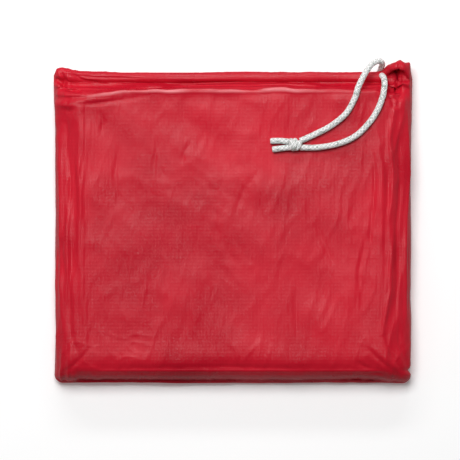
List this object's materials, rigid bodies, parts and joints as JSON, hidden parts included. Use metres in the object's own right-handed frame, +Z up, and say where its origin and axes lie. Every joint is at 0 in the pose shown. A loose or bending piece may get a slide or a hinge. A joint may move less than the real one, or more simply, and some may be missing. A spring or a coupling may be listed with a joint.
{
  "type": "fire blanket",
  "caption": "Folded glass cloth fire blanket in a soft red film pouch; the drawn mouth opens and the blanket slides out by its pull tapes.",
  "frame": {"origin": "middle of the pouch's outline, on the surface that it lies on, without the free cord", "axes": "+Z up out of the front of the pouch, +Y out of the mouth, +X across the mouth towards the cord's slit"},
  "size_m": [0.312, 0.2828, 0.0425],
  "materials": {
    "film": "soft red vinyl film, satin gloss, wrinkled over the folded cloth",
    "weld": "heat-welded double film with a fine pressed pattern",
    "cord": "white braided cord with small grey-green flecks",
    "glass_cloth": "off-white woven glass fibre cloth",
    "webbing": "black woven tape",
    "thread": "sewing thread"
  },
  "bodies": {
    "pouch": {"back_panel": "film", "front_panel": "film", "left_side_weld": "weld", "right_side_weld": "weld", "bottom_weld": "weld", "back_casing": "film", "drawstring_back_run": "cord", "drawstring_left_bend": "cord", "drawstring_back_exit": "cord"},
    "front_lip": {"front_casing": "film", "right_mouth_corner": "film", "left_mouth_corner": "film", "drawstring_front_run": "cord"},
    "cord_loop": {"drawstring_over_strand": "cord", "drawstring_front_strand": "cord", "drawstring_knot": "cord", "drawstring_long_tail": "cord", "drawstring_short_tail": "cord"},
    "blanket": {"blanket_cloth": "glass_cloth", "blanket_hem": "glass_cloth", "hem_stitching": "thread", "left_pull_tape": "webbing", "right_pull_tape": "webbing", "left_tape_stitching": "thread", "right_tape_stitching": "thread"}
  },
  "joints": [
    {"name": "blanket_slide", "type": "slide", "parent": "pouch", "child": "blanket", "axis": [0, 1, 0], "range_m": [0, 0.276], "deforming": ["front_casing", "right_mouth_corner", "left_mouth_corner", "back_casing", "drawstring_front_run", "drawstring_back_run", "drawstring_left_bend", "drawstring_back_exit"]},
    {"name": "mouth_open", "type": "hinge", "parent": "pouch", "child": "front_lip", "pos_m": [0, 0.11488, 0.03205], "axis": [1, 0, 0], "range_deg": [0, 80]},
    {"name": "cord_follow", "type": "hinge", "parent": "front_lip", "child": "cord_loop", "pos_m": [0.128, 0.12652, 0.01185], "axis": [1, 0, 0], "range_deg": [-60, 0], "deforming": ["drawstring_over_strand", "drawstring_front_strand", "drawstring_knot", "drawstring_long_tail", "drawstring_short_tail"]}
  ],
  "couplings": [
    {"joint": "cord_follow", "follows": "mouth_open", "ratio": -0.7}
  ]
}
